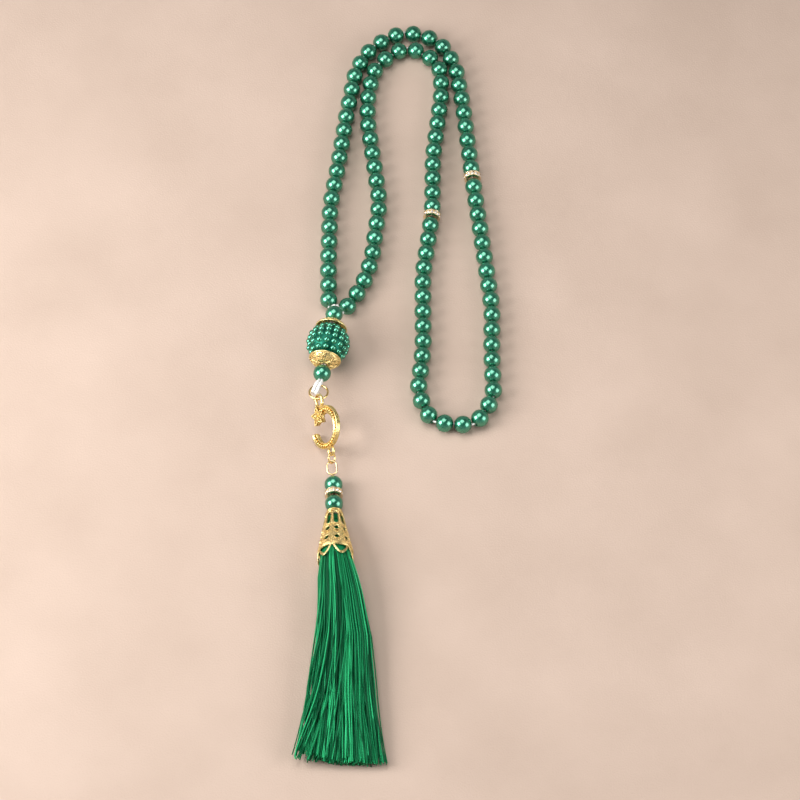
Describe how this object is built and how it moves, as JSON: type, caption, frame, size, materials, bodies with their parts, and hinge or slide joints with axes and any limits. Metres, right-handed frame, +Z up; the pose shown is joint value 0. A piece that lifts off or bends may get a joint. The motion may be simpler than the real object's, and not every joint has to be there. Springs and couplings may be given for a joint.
{
  "type": "prayer beads with tassel",
  "caption": "Folded strand of pearl beads on a cord, with a beaded ball, a crescent and star charm and a silk tassel in a pierced cone.",
  "frame": {"origin": "bottom centre of the bounding box, on the table the beads lie on", "axes": "+Z up from the table, +Y along the folded strand away from the tassel, +X to the right of the strand seen from above with the tassel nearest"},
  "size_m": [0.0887, 0.3933, 0.0201],
  "materials": {
    "pearl_green": "pearl lacquer over plastic, satin gloss",
    "seed_pearl": "pearl lacquer over plastic, glossy",
    "ball_core_green": "dyed plastic, satin",
    "clear_stone": "faceted clear glass, polished",
    "white_cord": "waxed braid, soft sheen",
    "pale_gilt": "pale gilt plating, polished",
    "gilt_filigree": "gilt plating, pierced and beaded",
    "gilt_wire": "gilt wire, polished",
    "cast_gilt": "gilt casting with darkened hollows",
    "silk_thread": "twisted silk thread, lustrous",
    "binding_silk": "tight wrap of the same silk"
  },
  "bodies": {
    "strand": {"strand_cord": "white_cord"},
    "head_cord": {"head_cord": "white_cord"},
    "ball": {"ball_core": "ball_core_green", "seed_pearls": "seed_pearl"},
    "upper_cap": {"upper_cap": "gilt_filigree"},
    "lower_cap": {"lower_cap": "gilt_filigree"},
    "neck_pearl": {"neck_pearl": "pearl_green"},
    "end_pearl": {"end_pearl": "pearl_green"},
    "jump_ring": {"jump_ring": "gilt_wire"},
    "crescent_charm": {"crescent_charm": "cast_gilt"},
    "link_ring": {"link_ring": "gilt_wire"},
    "eye_pin": {"eye_pin": "gilt_wire", "tassel_head": "silk_thread", "tassel_binding": "binding_silk"},
    "tassel_pearl_upper": {"tassel_pearl_upper": "pearl_green"},
    "tassel_ring": {"tassel_ring": "pale_gilt", "tassel_stones": "clear_stone"},
    "tassel_pearl_lower": {"tassel_pearl_lower": "pearl_green"},
    "tassel_cone": {"tassel_cone": "gilt_filigree"},
    "fringe": {"tassel_fringe": "silk_thread"},
    "spacer_ring_1": {"spacer_ring_1": "pale_gilt", "spacer_stones_1": "clear_stone"},
    "spacer_ring_2": {"spacer_ring_2": "pale_gilt", "spacer_stones_2": "clear_stone"},
    "pearl_run_01": {"pearl_run_01": "pearl_green"},
    "pearl_run_02": {"pearl_run_02": "pearl_green"},
    "pearl_run_03": {"pearl_run_03": "pearl_green"},
    "pearl_run_04": {"pearl_run_04": "pearl_green"},
    "pearl_run_05": {"pearl_run_05": "pearl_green"},
    "pearl_run_06": {"pearl_run_06": "pearl_green"},
    "pearl_run_07": {"pearl_run_07": "pearl_green"},
    "pearl_run_08": {"pearl_run_08": "pearl_green"},
    "pearl_run_09": {"pearl_run_09": "pearl_green"},
    "pearl_run_10": {"pearl_run_10": "pearl_green"},
    "pearl_run_11": {"pearl_run_11": "pearl_green"},
    "pearl_run_12": {"pearl_run_12": "pearl_green"},
    "pearl_run_13": {"pearl_run_13": "pearl_green"},
    "pearl_run_14": {"pearl_run_14": "pearl_green"},
    "pearl_run_15": {"pearl_run_15": "pearl_green"},
    "pearl_run_16": {"pearl_run_16": "pearl_green"},
    "pearl_run_17": {"pearl_run_17": "pearl_green"},
    "pearl_run_18": {"pearl_run_18": "pearl_green"},
    "pearl_run_19": {"pearl_run_19": "pearl_green"},
    "pearl_run_20": {"pearl_run_20": "pearl_green"},
    "pearl_run_21": {"pearl_run_21": "pearl_green"},
    "pearl_run_22": {"pearl_run_22": "pearl_green"},
    "pearl_run_23": {"pearl_run_23": "pearl_green"},
    "pearl_run_24": {"pearl_run_24": "pearl_green"},
    "pearl_run_25": {"pearl_run_25": "pearl_green"},
    "pearl_run_26": {"pearl_run_26": "pearl_green"},
    "pearl_run_27": {"pearl_run_27": "pearl_green"},
    "pearl_run_28": {"pearl_run_28": "pearl_green"},
    "pearl_run_29": {"pearl_run_29": "pearl_green"},
    "pearl_run_30": {"pearl_run_30": "pearl_green"},
    "pearl_run_31": {"pearl_run_31": "pearl_green"},
    "pearl_run_32": {"pearl_run_32": "pearl_green"},
    "pearl_run_33": {"pearl_run_33": "pearl_green"}
  },
  "joints": [
    {"name": "head_swing", "type": "hinge", "parent": "strand", "child": "head_cord", "pos_m": [-0.02926, 0.03045, 0.01005], "axis": [0, 0, 1], "range_deg": [-20, 20]},
    {"name": "ball_spin", "type": "hinge", "parent": "head_cord", "child": "ball", "pos_m": [-0.0324, 0.0106, 0.01005], "axis": [0.1564, 0.9877, 0], "continuous": true},
    {"name": "charm_swing", "type": "hinge", "parent": "jump_ring", "child": "crescent_charm", "pos_m": [-0.03603, -0.01981, 0.01141], "axis": [0.9976, 0.0698, 0], "range_deg": [-8, 30]},
    {"name": "cone_spin", "type": "hinge", "parent": "eye_pin", "child": "tassel_cone", "pos_m": [-0.0293, -0.05974, 0.00405], "axis": [0.0347, -0.993, 0.1132], "continuous": true},
    {"name": "eye_pin_swing", "type": "hinge", "parent": "link_ring", "child": "eye_pin", "pos_m": [-0.0302, -0.04817, 0.00486], "axis": [0, 0, 1], "range_deg": [-12, 6]},
    {"name": "fringe_sway", "type": "hinge", "parent": "eye_pin", "child": "fringe", "pos_m": [-0.02777, -0.10343, 0.00903], "axis": [0, 0, 1], "range_deg": [-10, 10]},
    {"name": "jump_ring_lift", "type": "hinge", "parent": "head_cord", "child": "jump_ring", "pos_m": [-0.0366, -0.01174, 0.01005], "axis": [-1, 0, 0], "range_deg": [-5, 30]},
    {"name": "link_ring_swing", "type": "hinge", "parent": "crescent_charm", "child": "link_ring", "pos_m": [-0.0302, -0.04501, 0.00697], "axis": [0.8232, -0.3153, 0.4722], "range_deg": [-15, 5]},
    {"name": "upper_cap_spin", "type": "hinge", "parent": "head_cord", "child": "upper_cap", "pos_m": [-0.0324, 0.0106, 0.01005], "axis": [0.1564, 0.9877, 0], "continuous": true},
    {"name": "lower_cap_spin", "type": "hinge", "parent": "head_cord", "child": "lower_cap", "pos_m": [-0.0324, 0.0106, 0.01005], "axis": [0.1564, 0.9877, 0], "continuous": true},
    {"name": "neck_pearl_spin", "type": "hinge", "parent": "head_cord", "child": "neck_pearl", "pos_m": [-0.0324, 0.0106, 0.01005], "axis": [0.1564, 0.9877, 0], "continuous": true},
    {"name": "end_pearl_spin", "type": "hinge", "parent": "head_cord", "child": "end_pearl", "pos_m": [-0.0324, 0.0106, 0.01005], "axis": [0.1564, 0.9877, 0], "continuous": true},
    {"name": "tassel_pearl_upper_spin", "type": "hinge", "parent": "eye_pin", "child": "tassel_pearl_upper", "pos_m": [-0.0293, -0.05974, 0.00405], "axis": [0.0347, -0.993, 0.1132], "continuous": true},
    {"name": "tassel_ring_spin", "type": "hinge", "parent": "eye_pin", "child": "tassel_ring", "pos_m": [-0.0293, -0.05974, 0.00405], "axis": [0.0347, -0.993, 0.1132], "continuous": true},
    {"name": "tassel_pearl_lower_spin", "type": "hinge", "parent": "eye_pin", "child": "tassel_pearl_lower", "pos_m": [-0.0293, -0.05974, 0.00405], "axis": [0.0347, -0.993, 0.1132], "continuous": true},
    {"name": "spacer_ring_1_spin", "type": "hinge", "parent": "strand", "child": "spacer_ring_1", "pos_m": [0.03387, 0.10789, 0.004], "axis": [0.0916, -0.9958, 0], "continuous": true},
    {"name": "spacer_ring_2_spin", "type": "hinge", "parent": "strand", "child": "spacer_ring_2", "pos_m": [0.01483, 0.08571, 0.004], "axis": [0.1293, 0.9916, 0], "continuous": true},
    {"name": "pearl_run_01_slide", "type": "slide", "parent": "strand", "child": "pearl_run_01", "axis": [0.0204, -0.9998, 0], "range_m": [0, 0.001]},
    {"name": "pearl_run_02_spin", "type": "hinge", "parent": "strand", "child": "pearl_run_02", "pos_m": [-0.03275, 0.07525, 0.004], "axis": [0.0154, 0.9999, 0], "continuous": true},
    {"name": "pearl_run_03_spin", "type": "hinge", "parent": "strand", "child": "pearl_run_03", "pos_m": [-0.03075, 0.1035, 0.004], "axis": [0.1443, 0.9895, 0], "continuous": true},
    {"name": "pearl_run_04_spin", "type": "hinge", "parent": "strand", "child": "pearl_run_04", "pos_m": [-0.027, 0.1315, 0.004], "axis": [0.124, 0.9923, 0], "continuous": true},
    {"name": "pearl_run_05_spin", "type": "hinge", "parent": "strand", "child": "pearl_run_05", "pos_m": [-0.023, 0.15975, 0.004], "axis": [0.1611, 0.9869, 0], "continuous": true},
    {"name": "pearl_run_06_spin", "type": "hinge", "parent": "strand", "child": "pearl_run_06", "pos_m": [-0.017, 0.179, 0.004], "axis": [0.4961, 0.8682, 0], "continuous": true},
    {"name": "pearl_run_07_spin", "type": "hinge", "parent": "strand", "child": "pearl_run_07", "pos_m": [-0.0055, 0.1905, 0.004], "axis": [0.8575, 0.5145, 0], "continuous": true},
    {"name": "pearl_run_08_spin", "type": "hinge", "parent": "strand", "child": "pearl_run_08", "pos_m": [0.01025, 0.19225, 0.004], "axis": [0.9487, -0.3162, 0], "continuous": true},
    {"name": "pearl_run_09_spin", "type": "hinge", "parent": "strand", "child": "pearl_run_09", "pos_m": [0.0225, 0.182, 0.004], "axis": [0.4706, -0.8824, 0], "continuous": true},
    {"name": "pearl_run_10_spin", "type": "hinge", "parent": "strand", "child": "pearl_run_10", "pos_m": [0.02825, 0.16225, 0.004], "axis": [0.1414, -0.9899, 0], "continuous": true},
    {"name": "pearl_run_11_spin", "type": "hinge", "parent": "strand", "child": "pearl_run_11", "pos_m": [0.03188, 0.12954, 0.004], "axis": [0.0916, -0.9958, 0], "continuous": true},
    {"name": "pearl_run_12_spin", "type": "hinge", "parent": "strand", "child": "pearl_run_12", "pos_m": [0.03625, 0.0865, 0.004], "axis": [0.1118, -0.9937, 0], "continuous": true},
    {"name": "pearl_run_13_spin", "type": "hinge", "parent": "strand", "child": "pearl_run_13", "pos_m": [0.04025, 0.0505, 0.004], "axis": [0.1087, -0.9941, 0], "continuous": true},
    {"name": "pearl_run_14_spin", "type": "hinge", "parent": "strand", "child": "pearl_run_14", "pos_m": [0.04175, 0.02225, 0.004], "axis": [-0.0204, -0.9998, 0], "continuous": true},
    {"name": "pearl_run_15_spin", "type": "hinge", "parent": "strand", "child": "pearl_run_15", "pos_m": [0.04175, -0.00225, 0.004], "axis": [0.0204, -0.9998, 0], "continuous": true},
    {"name": "pearl_run_16_spin", "type": "hinge", "parent": "strand", "child": "pearl_run_16", "pos_m": [0.03775, -0.02175, 0.004], "axis": [-0.5057, -0.8627, 0], "continuous": true},
    {"name": "pearl_run_17_spin", "type": "hinge", "parent": "strand", "child": "pearl_run_17", "pos_m": [0.024, -0.02825, 0.004], "axis": [-0.9969, 0.0787, 0], "continuous": true},
    {"name": "pearl_run_18_spin", "type": "hinge", "parent": "strand", "child": "pearl_run_18", "pos_m": [0.01125, -0.01975, 0.004], "axis": [-0.3867, 0.9222, 0], "continuous": true},
    {"name": "pearl_run_19_spin", "type": "hinge", "parent": "strand", "child": "pearl_run_19", "pos_m": [0.00925, 0, 0.004], "axis": [0.1036, 0.9946, 0], "continuous": true},
    {"name": "pearl_run_20_spin", "type": "hinge", "parent": "strand", "child": "pearl_run_20", "pos_m": [0.0105, 0.03225, 0.004], "axis": [0, 1, 0], "continuous": true},
    {"name": "pearl_run_21_spin", "type": "hinge", "parent": "strand", "child": "pearl_run_21", "pos_m": [0.01258, 0.06846, 0.004], "axis": [0.1293, 0.9916, 0], "continuous": true},
    {"name": "pearl_run_22_spin", "type": "hinge", "parent": "strand", "child": "pearl_run_22", "pos_m": [0.01525, 0.10325, 0.004], "axis": [0.0154, 0.9999, 0], "continuous": true},
    {"name": "pearl_run_23_spin", "type": "hinge", "parent": "strand", "child": "pearl_run_23", "pos_m": [0.01775, 0.1395, 0.004], "axis": [0.1118, 0.9937, 0], "continuous": true},
    {"name": "pearl_run_24_spin", "type": "hinge", "parent": "strand", "child": "pearl_run_24", "pos_m": [0.01925, 0.16775, 0.004], "axis": [-0.0905, 0.9959, 0], "continuous": true},
    {"name": "pearl_run_25_spin", "type": "hinge", "parent": "strand", "child": "pearl_run_25", "pos_m": [0.011, 0.181, 0.004], "axis": [-0.8321, 0.5547, 0], "continuous": true},
    {"name": "pearl_run_26_spin", "type": "hinge", "parent": "strand", "child": "pearl_run_26", "pos_m": [-0.00375, 0.1805, 0.004], "axis": [-0.7967, -0.6044, 0], "continuous": true},
    {"name": "pearl_run_27_spin", "type": "hinge", "parent": "strand", "child": "pearl_run_27", "pos_m": [-0.013, 0.167, 0.004], "axis": [-0.2425, -0.9701, 0], "continuous": true},
    {"name": "pearl_run_28_spin", "type": "hinge", "parent": "strand", "child": "pearl_run_28", "pos_m": [-0.01525, 0.15075, 0.004], "axis": [-0.0303, -0.9995, 0], "continuous": true},
    {"name": "pearl_run_29_spin", "type": "hinge", "parent": "strand", "child": "pearl_run_29", "pos_m": [-0.014, 0.13025, 0.004], "axis": [0.1215, -0.9926, 0], "continuous": true},
    {"name": "pearl_run_30_spin", "type": "hinge", "parent": "strand", "child": "pearl_run_30", "pos_m": [-0.011, 0.10575, 0.004], "axis": [0.1215, -0.9926, 0], "continuous": true},
    {"name": "pearl_run_31_spin", "type": "hinge", "parent": "strand", "child": "pearl_run_31", "pos_m": [-0.01125, 0.07725, 0.004], "axis": [-0.1071, -0.9943, 0], "continuous": true},
    {"name": "pearl_run_32_spin", "type": "hinge", "parent": "strand", "child": "pearl_run_32", "pos_m": [-0.01525, 0.05325, 0.004], "axis": [-0.2788, -0.9603, 0], "continuous": true},
    {"name": "pearl_run_33_slide", "type": "slide", "parent": "strand", "child": "pearl_run_33", "axis": [-0.519, -0.8548, 0], "range_m": [0, 0.001]}
  ]
}
